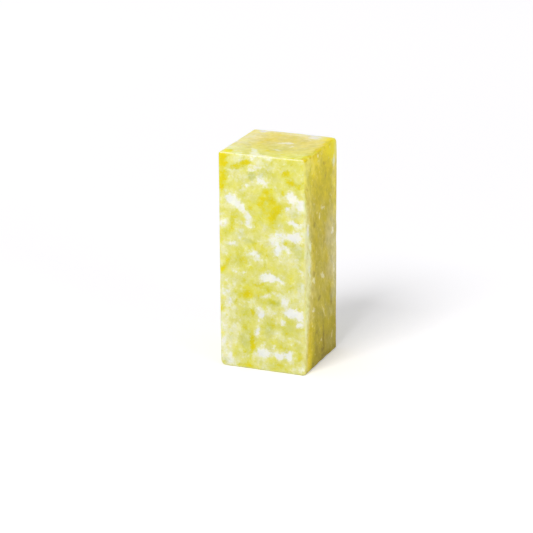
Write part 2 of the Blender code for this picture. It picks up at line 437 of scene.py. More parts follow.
SIDE_DARK_SPECKS = [
    (2.5, 56.3, 1.1, 0.35, -12, 1.2),
    (-5.4, 27.4, 1.0, 0.5, -30, 1.2),
    (-1.3, 19.0, 0.8, 0.6, 0, 1.2),
    (-4.5, 19.6, 0.8, 0.4, 0, 0.8),
    (7.9, 15.3, 1.2, 0.7, 90, 0.8),
    (-3.2, 9.7, 0.9, 0.6, 0, 0.65),
    (-6.0, 10.2, 1.1, 0.6, 90, 0.6),
    (9.3, 33.3, 0.6, 0.5, 0, 0.6),
    (-5.3, 41.5, 1.3, 0.7, -50, 0.9),
    (-4.0, 29.4, 1.1, 0.7, 0, 0.5),
    (-1.3, 33.1, 0.8, 0.35, -20, 0.6),
    (-10.6, 52.4, 0.9, 0.5, -20, 0.6),
    (-3.0, 43.2, 0.8, 0.4, -20, 0.6),
    (4.0, 41.2, 0.6, 0.5, 0, 0.5),
    (2.1, 35.0, 2.6, 0.6, 90, 0.6),
    (1.5, 9.6, 2.2, 0.5, 90, 0.65),
    (2.1, 6.2, 1.8, 0.6, 90, 0.7),
    (-3.8, 4.4, 1.5, 1.2, 0, 0.4),
    (1.5, 3.1, 1.6, 0.9, 0, 0.6),
    (-6.0, 1.2, 2.2, 0.5, -12, 0.4),
    (3.5, 1.0, 3.2, 0.5, -5, 0.7),
    (-4.9, 45.2, 0.9, 0.4, -20, 0.4),
    (6.8, 18.6, 1.6, 0.8, -60, 0.5),
    (-1.0, 50.0, 1.2, 0.5, -30, 0.4),
    (3.2, 52.8, 1.1, 0.9, 90, 0.7),
    (5.0, 43.0, 1.0, 0.4, -30, 0.4),
    (-2.6, 38.5, 1.0, 0.4, -40, 0.4),
    (0.6, 29.0, 0.9, 0.4, -30, 0.4),
    (4.5, 20.0, 1.1, 0.4, -40, 0.5),
    (-5.0, 35.3, 0.8, 0.4, -30, 0.4),
    (5.6, 48.5, 1.0, 0.4, -30, 0.35),
    (-7.2, 50.6, 0.9, 0.35, -30, 0.35),
    (6.0, 31.2, 1.0, 0.4, -30, 0.35),
    (4.2, 25.4, 0.8, 0.4, 0, 0.3),
]
# Along its front edge the right face is as pale and bright as the front face, as far as these places (z, then
# y): a pale vein in the stone, with painted light where the lit front shines through the edge
SIDE_PALE_VEIN_AND_PAINTED_LIGHT_EDGE = [
    (0.0, -11.5),
    (2.0, -11.2),
    (8.0, -10.7),
    (14.0, -10.0),
    (20.0, -8.8),
    (28.0, -7.9),
    (31.0, -7.6),
    (36.0, -8.0),
    (43.0, -9.7),
    (47.0, -11.0),
    (52.0, -12.8),
    (61.0, -13.6),
]
TOP_LIGHT_PATCHES = [
    (0.0, 12.5, 12.0, 2.4, 0, 0.07),
    (-11.5, 0.0, 9.0, 1.6, 90, 0.08),
    (1.5, -3.5, 3.0, 2.0, 20, -0.05),
    (-4.5, 3.2, 3.0, 2.0, 90, 0.02),
    (10.6, 9.8, 1.6, 1.2, 30, 0.2),
    (-9.0, 6.0, 4.0, 3.0, 90, 0.06),
    (7.5, 8.5, 3.0, 2.0, 0, 0.08),
    (8.0, 3.0, 3.0, 4.0, 0, 0.02),
    (12.3, 0.0, 12.0, 0.5, 90, -0.06),
    (-9.0, 0.8, 1.2, 0.8, 0, -0.05),
    (8.0, -9.0, 3.0, 3.0, 0, 0.03),
    (12.0, -6.5, 4.0, 0.9, 90, -0.07),
    (-8.6, 10.6, 1.6, 1.2, 0, 0.06),
    (-10.2, -10.6, 1.2, 1.0, 0, 0.1),
]
TOP_MILK_PATCHES = [
    (0.0, 12.6, 10.0, 1.8, 0, 0.26),
    (6.0, 10.0, 2.8, 2.0, 0, 0.2),
    (-10.5, -1.0, 9.0, 2.6, 90, 0.16),
    (-9.0, 7.0, 4.0, 3.0, 90, 0.12),
    (-8.0, -8.0, 4.0, 3.0, 0, 0.08),
    (3.5, 1.2, 3.6, 2.0, 0, 0.06),
    (-4.4, 3.6, 3.6, 2.2, 90, -0.1),
    (-4.2, 9.4, 1.6, 1.4, 0, -0.06),
    (1.8, 6.0, 2.4, 1.6, 90, -0.08),
    (12.6, 5.0, 8.0, 1.2, 90, -0.12),
    (12.6, -7.0, 7.0, 1.2, 90, -0.1),
    (11.5, 10.0, 2.0, 1.4, 40, -0.12),
    (8.0, -10.5, 3.5, 1.6, 0, -0.04),
    (3.5, -5.0, 3.0, 2.4, 0, -0.05),
    (0.6, -7.4, 2.0, 1.4, 0, -0.08),
    (-11.5, 11.0, 1.6, 1.0, 0, -0.1),
    (6.5, 11.4, 2.0, 1.0, 0, -0.1),
    (-10.2, -10.3, 1.0, 0.8, 0, -0.3),
    (12.3, 8.5, 2.6, 0.8, 90, -0.2),
    (12.2, -6.5, 4.0, 0.8, 90, -0.1),
]
TOP_LEMON_PATCHES = [
    (6.0, -11.0, 6.0, 2.4, 0, 0.035),
    (-8.9, 0.8, 1.4, 0.8, 0, 0.04),
    (1.5, -2.5, 2.4, 2.0, 0, 0.02),
    (-4.4, 5.0, 4.0, 3.0, 90, -0.025),
    (3.0, 6.0, 4.0, 2.4, 0, -0.02),
    (3.0, -7.5, 6.0, 3.0, 0, -0.025),
    (-10.2, -10.3, 1.4, 1.2, 0, -0.05),
]
# Crisp-edged spots on the top face, milky or golden
TOP_PALE_SPOTS = [
    (-8.6, 11.0, 1.3, 0.9, 0, 0.9),
    (6.8, 9.0, 1.3, 0.8, -10, 1.1),
    (-9.2, 6.4, 1.1, 0.7, 0, 0.5),
    (2.0, 1.8, 1.3, 0.8, 20, 1.2),
    (0.2, 1.2, 1.2, 0.4, 10, 0.6),
    (4.3, -1.2, 1.3, 0.6, 80, 0.6),
    (-4.0, -7.4, 1.6, 0.7, -45, 0.75),
    (-3.0, -9.8, 1.6, 0.8, -60, 0.75),
    (-1.6, -11.8, 1.8, 1.0, -20, 1.0),
    (1.8, -12.5, 1.8, 0.7, 0, 1.0),
    (2.4, -5.7, 1.0, 0.5, -20, 0.8),
    (0.6, -5.2, 0.8, 0.4, -10, 0.5),
    (9.2, -7.8, 1.6, 0.6, 0, 0.6),
    (-7.0, -11.9, 1.6, 0.6, 30, 0.8),
    (-6.9, -9.4, 1.1, 0.4, -50, 0.5),
    (6.4, 6.6, 0.8, 0.5, 0, 0.5),
    (5.4, 11.5, 1.8, 1.0, 0, 0.8),
    (-5.0, 12.0, 1.4, 0.6, 0, 0.5),
    (0.0, 12.0, 1.6, 0.6, 0, 0.5),
    (-12.0, -0.5, 2.4, 0.8, 90, 0.7),
    (-11.5, -6.6, 1.4, 0.9, 90, 0.6),
    (-8.8, -1.6, 1.2, 0.7, 0, 0.4),
    (8.0, 10.8, 1.2, 0.7, 0, 0.5),
    (-10.8, 3.4, 1.4, 0.6, 90, 0.4),
]
TOP_GOLD_SPOTS = [
    (-10.2, -10.6, 1.0, 0.8, 90, 1.6),
    (-10.0, -12.2, 1.0, 0.5, 0, 0.8),
    (-5.0, -12.4, 0.8, 0.4, 0, 0.7),
    (10.9, 10.0, 1.4, 0.9, 40, 0.7),
    (12.4, 8.6, 2.4, 0.8, 90, 1.3),
    (12.2, 4.9, 1.2, 0.8, 90, 1.2),
    (12.1, -1.0, 1.4, 0.6, 95, 1.1),
    (12.0, -9.8, 1.4, 0.8, 95, 1.3),
    (12.2, -4.5, 1.8, 0.4, 92, 0.7),
    (-0.2, -7.3, 1.1, 0.8, 0, 0.6),
    (4.7, -9.2, 0.8, 0.6, 0, 0.6),
    (8.6, -11.8, 1.0, 0.6, 60, 0.8),
    (3.2, -11.0, 1.4, 0.4, 0, 0.5),
    (-4.6, 2.6, 2.2, 1.6, 90, 0.45),
    (2.4, 6.6, 1.4, 0.8, 80, 0.4),
    (6.8, 4.4, 0.8, 0.6, 0, 0.3),
    (-3.8, 9.6, 1.2, 0.9, 0, 0.35),
    (-6.5, -9.9, 0.8, 0.5, -50, 0.4),
    (0.4, -3.4, 0.9, 0.5, 0, 0.3),
    (7.4, 7.2, 0.8, 0.4, 0, 0.4),
    (-11.4, 9.0, 1.6, 0.6, 90, 0.4),
]
# Gold that shows through the top face's right edge in dashes (x, y)
EDGE_GOLD_DASHES = [
    (12.2, -11.2, 1.0, 0.8, 90, 1.1),
    (12.2, -8.0, 0.7, 0.6, 90, 1.0),
    (12.3, -1.4, 1.3, 0.8, 90, 1.1),
    (12.3, 2.4, 0.7, 0.5, 90, 0.8),
    (12.3, 6.4, 1.5, 0.8, 90, 0.75),
]
PATCH_DEPTH = 1.5  # millimetres that a patch reaches in behind the face that shows it
PATCH_SPREAD = 2.0  # a patch fades out at this many times its half size

# Camera, fitted to the block's outline in the photograph
PICTURE = 533.0  # pixels, square
SENSOR = 36.0
FOCAL_PIXELS = 2454.9
CAMERA_AZIMUTH = math.radians(22.277)
CAMERA_ELEVATION = math.radians(18.348)
CAMERA_ROLL = math.radians(-0.3505)
CAMERA_DISTANCE = 674.06 * MM
CAMERA_RIGHT = -3.338 * MM
CAMERA_UP = -4.146 * MM

# Light
KEY_AZIMUTH = math.radians(-8.5)
KEY_ELEVATION = math.radians(46.5)
KEY_DISTANCE = 3.0
KEY_SIZE = 1.25
KEY_WATTS = 56.0
FILL_AZIMUTH = math.radians(62)
FILL_ELEVATION = math.radians(12)
FILL_DISTANCE = 1.2
FILL_SIZE = 0.35
FILL_WATTS = 2.2
SKY_LEVEL = 0.44
FLOOR_SIZE = 6.0
FLOOR_COLOUR = (0.928, 0.918, 0.948, 1.0)
FLOOR_LIFT = 0.20
FAR_FLOOR_LIFT = 0.275
FAR_FLOOR = (0.08, 0.50)  # the lift grows between these distances from the block


def srgb(red, green, blue):
    """A colour written as it shows, 0 to 255, as linear RGBA."""

    def linear(level):
        level = level / 255
        return level / 12.92 if level <= 0.04045 else ((level + 0.055) / 1.055) ** 2.4

    return (linear(red), linear(green), linear(blue), 1.0)


# --- The block's surface -----------------------------------------------------------------------


def plan_ring(inset):
    """The block's plan outline, set in by inset, as points in order round it."""
    radius = max(SIDE_ROUNDING - inset, 0.0)
    across = HALF_WIDTH - max(SIDE_ROUNDING, inset)
    along = HALF_DEPTH - max(SIDE_ROUNDING, inset)
    flat_steps = round(2 * (HALF_WIDTH - SIDE_ROUNDING) / FACE_STEP)
    ring = []
    corners = [(across, -along), (across, along), (-across, along), (-across, -along)]
    for turn, (x, y) in enumerate(corners):
        for step in range(CORNER_FACETS + 1):
            angle = math.pi / 2 * (turn - 1 + step / CORNER_FACETS)
            ring.append(Vector((x + radius * math.cos(angle), y + radius * math.sin(angle))))
        end = ring[-1]
        quarter = math.pi / 2 * turn
        next_x, next_y = corners[(turn + 1) % 4]
        start = Vector((next_x + radius * math.cos(quarter), next_y + radius * math.sin(quarter)))
        ring.extend(end.lerp(start, step / flat_steps) for step in range(1, flat_steps))
    return ring


def height_profile():
    """(inset, height) of each ring, from the base's middle, up the side, to the top's middle."""
    half = min(HALF_WIDTH, HALF_DEPTH)
    side_steps = round((HEIGHT - TOP_ROUNDING - BASE_ROUNDING) / FACE_STEP)
    rows = []
    for step in range(CAP_RINGS):
        share = (step + 1) / (CAP_RINGS + 1)
        rows.append((half + (BASE_ROUNDING - half) * share ** CAP_CROWDING, 0.0))
    for step in range(RIM_FACETS + 1):
        angle = math.pi / 2 * step / RIM_FACETS
        rows.append((BASE_ROUNDING * (1 - math.sin(angle)), BASE_ROUNDING * (1 - math.cos(angle))))
    side_low, side_high = BASE_ROUNDING, HEIGHT - TOP_ROUNDING
    rows.extend((0.0, side_low + (side_high - side_low) * step / side_steps) for step in range(1, side_steps))
    for step in range(RIM_FACETS + 1):
        angle = math.pi / 2 * step / RIM_FACETS
        rows.append((TOP_ROUNDING * (1 - math.cos(angle)), side_high + TOP_ROUNDING * math.sin(angle)))
    for step in range(CAP_RINGS - 1, -1, -1):
        share = (step + 1) / (CAP_RINGS + 1)
        rows.append((half + (TOP_ROUNDING - half) * share ** CAP_CROWDING, HEIGHT))
    return rows


def smooth_step(low, high, value):
    """0 up to low, 1 from high on, and a smooth rise between them."""
    share = min(max((value - low) / (high - low), 0.0), 1.0)
    return share * share * (3 - 2 * share)


def edge_closeness(point):
    """1 on the block's sharp edges, falling to 0 as far in as their wear reaches."""
    gaps = sorted(
        [HALF_WIDTH - abs(point.x), HALF_DEPTH - abs(point.y), min(point.z, HEIGHT - point.z)]
    )
    return 1 - smooth_step(0.0, ARRIS_WEAR_REACH, gaps[1])


def worn(point, normal):
    """The point after polishing and handling: faint waves, uneven arrises and two worn corners."""
    wave = (noise.noise(point / POLISH_WAVE_LENGTH) - 1) / 2
    wear = max(noise.noise(point / ARRIS_WEAR_LENGTH + Vector((7.0, 3.0, 1.0))), 0.0)
    inward = POLISH_WAVE * wave - ARRIS_WEAR * wear * edge_closeness(point)
    moved = point + normal * inward
    axis = Vector((-HALF_WIDTH + TOP_LEFT_ROUNDING, 0.0, HEIGHT - TOP_LEFT_ROUNDING))
    spoke = Vector((min(moved.x - axis.x, 0.0), 0.0, max(moved.z - axis.z, 0.0)))
    if spoke.length > TOP_LEFT_ROUNDING:
        moved = moved - spoke * (1 - TOP_LEFT_ROUNDING / spoke.length)
    for side, front, top, depth in WORN_CORNERS:
        outward = Vector((side, front, top)).normalized()
        corner = Vector((side * HALF_WIDTH, front * HALF_DEPTH, HEIGHT if top > 0 else 0.0))
        excess = (moved - corner).dot(outward) + depth
        pushed = WORN_CORNER_SOFTNESS * math.log1p(math.exp(excess / WORN_CORNER_SOFTNESS))
        if excess > WORN_CORNER_REACH:
            moved = moved - outward * pushed
    return moved


def weld(mesh):
    """Join the points that fall together where a cap's corner arcs shrink to nothing."""
    shell = bmesh.new()
    shell.from_mesh(mesh)
    bmesh.ops.remove_doubles(shell, verts=shell.verts, dist=WELD_DISTANCE)
    bmesh.ops.recalc_face_normals(shell, faces=shell.faces)
    shell.to_mesh(mesh)
    shell.free()
    mesh.update()


def stone_piece():
    """The block as one closed surface: rings of points from the base's middle to the top's middle."""
    rings = [[Vector((p.x, p.y, z)) for p in plan_ring(inset)] for inset, z in height_profile()]
    around = len(rings[0])
    points = [point for ring in rings for point in ring]
    faces = []
    for row in range(len(rings) - 1):
        for column in range(around):
            beside = (column + 1) % around
            faces.append(
                (
                    row * around + column,
                    row * around + beside,
                    (row + 1) * around + beside,
                    (row + 1) * around + column,
                )
            )
    faces.append(tuple(range(around - 1, -1, -1)))
    faces.append(tuple((len(rings) - 1) * around + column for column in range(around)))
    mesh = bpy.data.meshes.new("polished_seal_stone")
    mesh.from_pydata(points, [], faces)
    weld(mesh)
    normals = [normal.vector.copy() for normal in mesh.vertex_normals]
    for vertex, normal in zip(mesh.vertices, normals):
        vertex.co = worn(vertex.co, normal)
    mesh.shade_smooth()
    mesh.update()
    piece = bpy.data.objects.new("polished_seal_stone", mesh)
    bpy.context.scene.collection.objects.link(piece)
    return piece


# --- Materials ---------------------------------------------------------------------------------


class Graph:
    """Short ways to add shader nodes. Each returns the socket that holds the result."""

    def __init__(self, material):
        material.use_nodes = True
        self.tree = material.node_tree
        self.tree.nodes.clear()

    def add(self, kind, **settings):
        made = self.tree.nodes.new(kind)
        for name, value in settings.items():
            setattr(made, name, value)
        return made

    def put(self, socket, value):
        if isinstance(value, bpy.types.NodeSocket):
            self.tree.links.new(value, socket)
        else:
            socket.default_value = value

    def math(self, operation, first, second=None, third=None):
        made = self.add("ShaderNodeMath", operation=operation)
        for socket, value in zip(made.inputs, (first, second, third)):
            if value is not None:
                self.put(socket, value)
        return made.outputs[0]

    def vector(self, operation, first, second=None, scale=None):
        made = self.add("ShaderNodeVectorMath", operation=operation)
        self.put(made.inputs[0], first)
        if second is not None:
            self.put(made.inputs[1], second)
        if scale is not None:
            self.put(made.inputs["Scale"], scale)
        return made.outputs["Value" if operation == "LENGTH" else "Vector"]

    def noise(self, where, scale, detail=4.0, roughness=0.6, colour=False):
        made = self.add("ShaderNodeTexNoise")
        self.put(made.inputs["Vector"], where)
        self.put(made.inputs["Scale"], scale)
        self.put(made.inputs["Detail"], detail)
        self.put(made.inputs["Roughness"], roughness)
        return made.outputs["Color" if colour else "Fac"]

    def step(self, value, low, high, to_low=0.0, to_high=1.0):
        made = self.add("ShaderNodeMapRange", interpolation_type="SMOOTHSTEP")
        for socket, number in zip(made.inputs, (value, low, high, to_low, to_high)):
            self.put(socket, number)
        return made.outputs[0]

    def mix(self, factor, first, second, blend="MIX"):
        made = self.add("ShaderNodeMix", data_type="RGBA", blend_type=blend)
        self.put(made.inputs[0], factor)
        self.put(made.inputs[6], first)
        self.put(made.inputs[7], second)
        return made.outputs[2]

    def mix_value(self, factor, first, second):
        made = self.add("ShaderNodeMix", data_type="FLOAT")
        self.put(made.inputs[0], factor)
        self.put(made.inputs[2], first)
        self.put(made.inputs[3], second)
        return made.outputs[0]

    def ramp(self, value, stops):
        made = self.add("ShaderNodeValToRGB")
        elements = made.color_ramp.elements
        while len(elements) < len(stops):
            elements.new(0.5)
        for element, (position, colour) in zip(elements, stops):
            element.position = position
            element.color = colour
        self.put(made.inputs[0], value)
        return made.outputs[0]


# Where a patch lies on each face that shows, in millimetres, how it is turned and how large it is
FACE_FRAMES = {
    "front": lambda across, up: (across, -HALF_DEPTH / MM, up),
    "right": lambda across, up: (HALF_WIDTH / MM, across, up),
    "top": lambda across, up: (across, up, HEIGHT / MM),
}
FACE_TURNS = {
    "front": lambda tilt: (0.0, -tilt, 0.0),
    "right": lambda tilt: (tilt, 0.0, 0.0),
    "top": lambda tilt: (0.0, 0.0, tilt),
}
FACE_SCALES = {
    "front": lambda length, width: (length, PATCH_DEPTH, width),
    "right": lambda length, width: (PATCH_DEPTH, length, width),
    "top": lambda length, width: (length, width, PATCH_DEPTH),
}


def patch_field(graph, where, face, patches):
    """The summed strength of one face's patches at a place given in millimetres."""
    total = 0.0
    for across, up, half_length, half_width, tilt, strength in patches:
        local = graph.add("ShaderNodeMapping", vector_type="TEXTURE")
        graph.put(local.inputs["Vector"], where)
        local.inputs["Location"].default_value = FACE_FRAMES[face](across, up)
        local.inputs["Rotation"].default_value = FACE_TURNS[face](math.radians(tilt))
        scale = Vector(FACE_SCALES[face](half_length, half_width)) * PATCH_SPREAD
        local.inputs["Scale"].default_value = scale
        ball = graph.add("ShaderNodeTexGradient", gradient_type="SPHERICAL")
        graph.put(ball.inputs[0], local.outputs[0])
        total = graph.math("MULTIPLY_ADD", ball.outputs["Fac"], strength, total)
    return total


# From gold through pale lime yellow to milky white, near averages of the photographed colours
STONE_RAMP = [
    (0.00, srgb(218, 206, 34)),
    (0.10, srgb(217, 208, 62)),
    (0.24, srgb(215, 211, 92)),
    (0.38, srgb(216, 214, 116)),
    (0.52, srgb(219, 217, 138)),
    (0.66, srgb(222, 221, 163)),
    (0.79, srgb(225, 225, 188)),
    (0.90, srgb(228, 229, 209)),
    (1.00, srgb(231, 232, 225)),
]
# What that colour is multiplied by in full shade and in full light
DULLER = (0.88, 0.88, 0.93, 1.0)
LIGHTER = (1.12, 1.11, 1.03, 1.0)
GREEN_TINT = (0.84, 0.87, 0.88, 1.0)
EDGE_GOLD = (0.74, 0.60, 0.0, 1.0)
# The colour of the painted highlight along the polished front edges
PAINTED_HIGHLIGHT_COLOUR = (0.93, 0.93, 0.80, 1.0)
WHITE = (1.0, 1.0, 1.0, 1.0)

# How the polished stone takes light
SUBSURFACE_RADIUS = (1.5, 1.3, 0.8)  # millimetres, for red, green and blue
REFRACTION = 1.55
SPECULAR_LEVEL = 0.06
GRAIN_BUMP_STRENGTH = 0.08
GRAIN_BUMP_HEIGHT = 0.02 * MM

# Painted shade: how light the right face is at its middle, from its base to its top, darker towards the base
# where the floor beside it lies in shadow
SIDE_PAINTED_SHADE_RAMP = [
    (0.00, 0.35),
    (0.06, 0.42),
    (0.15, 0.50),
    (0.30, 0.55),
    (0.50, 0.58),
    (0.70, 0.61),
    (0.85, 0.69),
    (1.00, 0.86),
]
PALE_EDGE_SPAN = 14.0  # millimetres from the right face's middle that stand for 1 in the pale edge's ramp
SIDE_MILK = 0.04
SIDE_LEMON = 0.81
TOP_LIGHT = 0.78
TOP_MILK = 0.20
TOP_LEMON_FRONT = 0.93
TOP_LEMON_BACK = 0.83


def grey(level):
    return (level, level, level, 1.0)


def centred(graph, value, gain, base=0.0):
    """A noise value about 0.5, times gain, plus base."""
    return graph.math("MULTIPLY_ADD", graph.math("SUBTRACT", value, 0.5), gain, base)


def added(graph, *values):
    """The sum of all the values."""
    total = values[0]
    for value in values[1:]:
        total = graph.math("ADD", total, value)
    return total


def streaked(graph, place, tilt, stretch):
    """The place with the stone's grain drawn out along a slope on the right face."""
    made = graph.add("ShaderNodeMapping", vector_type="TEXTURE")
    graph.put(made.inputs["Vector"], place)
    made.inputs["Rotation"].default_value = (math.radians(tilt), 0.0, 0.0)
    made.inputs["Scale"].default_value = (1.0, stretch, 1.0)
    return made.outputs[0]


def front_colour(graph, place, ragged, away, x, z):
    """The stone in full light: gold, pale lime yellow, grey green and milky white."""
    broad = graph.noise(graph.vector("ADD", ragged, (3.0, 57.0, 23.0)), 0.15, 3.0, 0.5)
    medium = graph.noise(ragged, 0.36, 3.0, 0.5)
    fine = graph.noise(place, 1.0, 4.0, 0.6)
    grain = graph.noise(place, 3.0, 3.0, 0.6)
    fleck = graph.noise(graph.vector("ADD", place, (11.0, 3.0, 41.0)), 0.75, 3.0, 0.55)

    # How pale the stone is, 0 for gold and 1 for white
    pale = centred(graph, medium, 1.2, 0.52)
    pale = graph.math("ADD", pale, graph.step(z, 16.0, 24.0, 0.03, 0.0))
    pale = graph.math("ADD", pale, centred(graph, broad, 0.4))
    pale = graph.math("ADD", pale, patch_field(graph, ragged, "front", FRONT_ZONES))
    pale = graph.math("ADD", pale, centred(graph, fine, 0.5))
    pale = graph.math("ADD", pale, centred(graph, grain, 0.25))
    pale = graph.math("ADD", pale, graph.step(fleck, 0.57, 0.75, 0.0, 0.26))
    pale = graph.math("SUBTRACT", pale, graph.step(fleck, 0.27, 0.43, 0.24, 0.0))

    gold_noise = graph.noise(graph.vector("ADD", ragged, (31.0, 17.0, 5.0)), 0.15, 5.0, 0.62)
    gold = added(
        graph,
        patch_field(graph, ragged, "front", FRONT_GOLD),
        graph.math("MULTIPLY", away, centred(graph, gold_noise, 3.6, -0.1)),
        centred(graph, fine, 1.2),
    )
    gold_share = graph.step(gold, 0.0, 1.25)
    gold_share = graph.math("MULTIPLY", gold_share, centred(graph, grain, 1.8, 0.95))
    pale = graph.math("MULTIPLY_ADD", gold_share, -0.45, pale)

    white_noise = graph.noise(ragged, 0.17, 5.0, 0.60)
    white = added(
        graph,
        patch_field(graph, ragged, "front", FRONT_WHITE),
        graph.math("MULTIPLY", away, centred(graph, white_noise, 4.0, -0.2)),
        centred(graph, fine, 1.2),
    )
    white_share = graph.step(white, 0.02, 1.15)
    pale = graph.math("MULTIPLY_ADD", white_share, 0.54, pale)

    green_noise = graph.noise(ragged, 0.12, 4.0, 0.55)
    green = graph.math("MULTIPLY", away, centred(graph, green_noise, 3.0))
    green = graph.math("ADD", green, patch_field(graph, ragged, "front", FRONT_GREEN))
    green_share = graph.step(green, 0.1, 1.1)
    green_share = graph.math("MULTIPLY", green_share, graph.math("SUBTRACT", 1.0, white_share))
    colour = graph.ramp(pale, STONE_RAMP)
    colour = graph.mix(green_share, colour, graph.mix(1.0, colour, GREEN_TINT, "MULTIPLY"))
    shade = graph.noise(graph.vector("ADD", ragged, (9.0, 67.0, 2.0)), 0.42, 4.0, 0.6)
    light = centred(graph, shade, 1.3, 0.5)
    light = graph.math("ADD", light, graph.step(z, 6.0, 58.0, -0.11, 0.20))
    light = graph.math("ADD", light, graph.step(x, -12.0, -6.0, 0.16, 0.0))
    light = graph.math("MULTIPLY_ADD", gold_share, -0.16, light)
    return graph.mix(1.0, colour, graph.mix(light, DULLER, LIGHTER), "MULTIPLY")


def stone_tone(graph, light, milk, lemon, lemon_by_milk):
    """The colour with that red, with blue and green as shares of it."""
    milk = graph.math("MAXIMUM", milk, 0.0)
    lemon = graph.math("MINIMUM", graph.math("MULTIPLY_ADD", milk, lemon_by_milk, lemon), 1.0)
    light = graph.math("MINIMUM", light, 0.95)
    tone = graph.add("ShaderNodeCombineXYZ")
    for socket, value in zip(tone.inputs, (1.0, lemon, milk)):
        graph.put(socket, value)
    return graph.vector("SCALE", tone.outputs[0], scale=light)


def crisp(graph, field, ragged_by):
    """A patch field as a share from 0 to 1 with a ragged, fairly crisp edge."""
    return graph.step(graph.math("ADD", field, ragged_by), 0.22, 0.72)


def side_colour(graph, place, ragged, z):
    """The stone on the right face, streaked and specked, with painted shade that darkens it towards the base.
    """
    slope = streaked(graph, graph.vector("ADD", ragged, (0.0, 13.0, 37.0)), -48.0, 2.0)
    slow = graph.noise(slope, 0.30, 3.0, 0.55)
    slope = streaked(graph, graph.vector("ADD", place, (0.0, 29.0, 83.0)), -60.0, 1.8)
    quick = graph.noise(slope, 1.0, 3.0, 0.55)
    slope = streaked(graph, graph.vector("ADD", ragged, (0.0, 91.0, 11.0)), -48.0, 2.0)
    shade = graph.noise(slope, 0.45, 4.0, 0.6)
    speck = graph.noise(graph.vector("ADD", place, (61.0, 5.0, 19.0)), 0.9, 2.0, 0.5)
    fine = centred(graph, graph.noise(graph.vector("ADD", place, (7.0, 3.0, 71.0)), 1.4, 3.0, 0.6), 0.9)
    up_share = graph.math("DIVIDE", z, HEIGHT / MM)

    # The strip along the front edge: a pale vein in the stone, with painted light where the lit front shines
    # through the edge
    stops = [(at * MM / HEIGHT, grey(-y / PALE_EDGE_SPAN)) for at, y in SIDE_PALE_VEIN_AND_PAINTED_LIGHT_EDGE]
    edge = graph.ramp(up_share, stops)
    warped = graph.add("ShaderNodeSeparateXYZ")
    graph.put(warped.inputs[0], ragged)
    past = graph.math("MULTIPLY_ADD", edge, PALE_EDGE_SPAN, warped.outputs["Y"])
    pale_vein_and_painted_light_strip = graph.step(graph.math("ADD", past, fine), -1.4, 2.0, 1.0, 0.0)

    pale_speck = crisp(graph, patch_field(graph, ragged, "right", SIDE_PALE_SPECKS), fine)
    pale_speck = graph.math("MAXIMUM", pale_speck, graph.step(speck, 0.60, 0.78, 0.0, 0.6))
    dark_speck = crisp(graph, patch_field(graph, ragged, "right", SIDE_DARK_SPECKS), fine)
    dark_speck = graph.math("MAXIMUM", dark_speck, graph.step(speck, 0.22, 0.38, 0.7, 0.0))
    dark_speck = graph.math("MULTIPLY", dark_speck, graph.math("SUBTRACT", 1.0, pale_vein_and_painted_light_strip))

    # Painted shade: the right face darker towards its base
    light = graph.ramp(up_share, [(at, grey(level)) for at, level in SIDE_PAINTED_SHADE_RAMP])
    light = graph.math("ADD", light, patch_field(graph, ragged, "right", SIDE_LIGHT_PATCHES))
    # Painted light: the strip is made about as bright as the lit front face
    light = graph.mix_value(pale_vein_and_painted_light_strip, light, 0.88)
    light = graph.math("MULTIPLY", light, centred(graph, shade, 0.75, 1.0))
    light = graph.math("MULTIPLY", light, centred(graph, quick, 0.45, 1.0))
    light = graph.math("MULTIPLY_ADD", pale_speck, 0.20, light)
    light = graph.math("MULTIPLY_ADD", dark_speck, -0.14, light)
    milk = graph.math("ADD", patch_field(graph, ragged, "right", SIDE_MILK_PATCHES), SIDE_MILK)
    milk = graph.mix_value(pale_vein_and_painted_light_strip, milk, 0.40)
    milk = added(graph, milk, centred(graph, slow, 0.26), centred(graph, quick, 0.18))
    milk = graph.math("MULTIPLY_ADD", graph.math("MULTIPLY", pale_vein_and_painted_light_strip, centred(graph, shade, 1.0)), 0.9, milk)
    milk = graph.math("MULTIPLY_ADD", pale_speck, 0.36, milk)
    milk = graph.math("MULTIPLY_ADD", dark_speck, -0.03, milk)
    lemon = graph.math("ADD", patch_field(graph, ragged, "right", SIDE_LEMON_PATCHES), SIDE_LEMON)
    lemon = graph.math("MULTIPLY_ADD", dark_speck, -0.05, lemon)
    lemon = graph.math("MULTIPLY_ADD", pale_vein_and_painted_light_strip, 0.07, lemon)
    return stone_tone(graph, light, milk, lemon, 0.24)


def top_colour(graph, place, ragged, y):
    """The stone on the top face, creamy, with golden spots and milky clouds."""
    slow = graph.noise(graph.vector("ADD", ragged, (19.0, 7.0, 0.0)), 0.24, 4.0, 0.55)
    quick = graph.noise(graph.vector("ADD", place, (5.0, 43.0, 0.0)), 0.8, 3.0, 0.55)
    shade = graph.noise(graph.vector("ADD", ragged, (77.0, 3.0, 0.0)), 0.4, 4.0, 0.6)
    fine = centred(graph, graph.noise(graph.vector("ADD", place, (37.0, 3.0, 1.0)), 1.2, 3.0, 0.6), 0.9)
    milky = crisp(graph, patch_field(graph, ragged, "top", TOP_PALE_SPOTS), fine)
    golden = crisp(graph, patch_field(graph, ragged, "top", TOP_GOLD_SPOTS), fine)
    light = graph.math("ADD", patch_field(graph, ragged, "top", TOP_LIGHT_PATCHES), TOP_LIGHT)
    milk = graph.math("ADD", patch_field(graph, ragged, "top", TOP_MILK_PATCHES), TOP_MILK)
    milk = added(graph, milk, centred(graph, slow, 0.36), centred(graph, quick, 0.36))
    milk = graph.math("MULTIPLY_ADD", milky, 0.40, milk)
    milk = graph.math("MULTIPLY_ADD", golden, -0.26, milk)
    light = graph.math("MULTIPLY_ADD", milk, 0.26, light)
    light = graph.math("MULTIPLY_ADD", golden, 0.08, light)
    light = graph.math("MULTIPLY", light, centred(graph, shade, 0.45, 1.0))
    lemon = graph.step(y, -11.0, 3.0, TOP_LEMON_FRONT, TOP_LEMON_BACK)
    lemon = graph.math("ADD", lemon, patch_field(graph, ragged, "top", TOP_LEMON_PATCHES))
    return stone_tone(graph, light, milk, lemon, 0.13)


